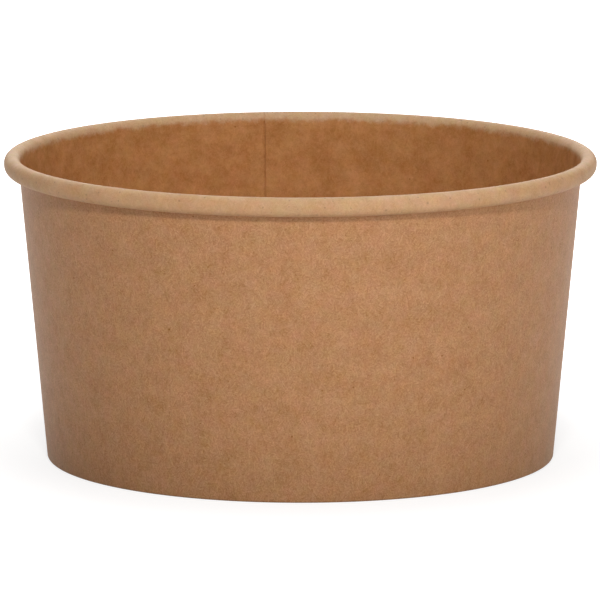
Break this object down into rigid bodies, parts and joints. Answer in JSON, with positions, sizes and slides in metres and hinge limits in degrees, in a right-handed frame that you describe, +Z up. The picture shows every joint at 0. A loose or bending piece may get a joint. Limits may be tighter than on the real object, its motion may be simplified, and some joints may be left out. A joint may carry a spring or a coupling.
{
  "type": "paper ice cream tub",
  "caption": "Open round tub of brown kraft board with a tapered wall, a rolled rim and a sealed base set up above a folded foot, for serving ice cream or other food.",
  "frame": {"origin": "on the table, under the centre of the tub", "axes": "+Z up along the axis of the cone, +X to the right and +Y to the back as the picture shows the tub"},
  "size_m": [0.1502, 0.1502, 0.0776],
  "materials": {
    "kraft_wall": "matt brown kraft board with a fine fibre grain, faintly satin inside",
    "kraft_base": "matt brown kraft board, coated on its upper face"
  },
  "bodies": {
    "root": {"side_wall": "kraft_wall", "base_disc": "kraft_base"}
  },
  "joints": []
}
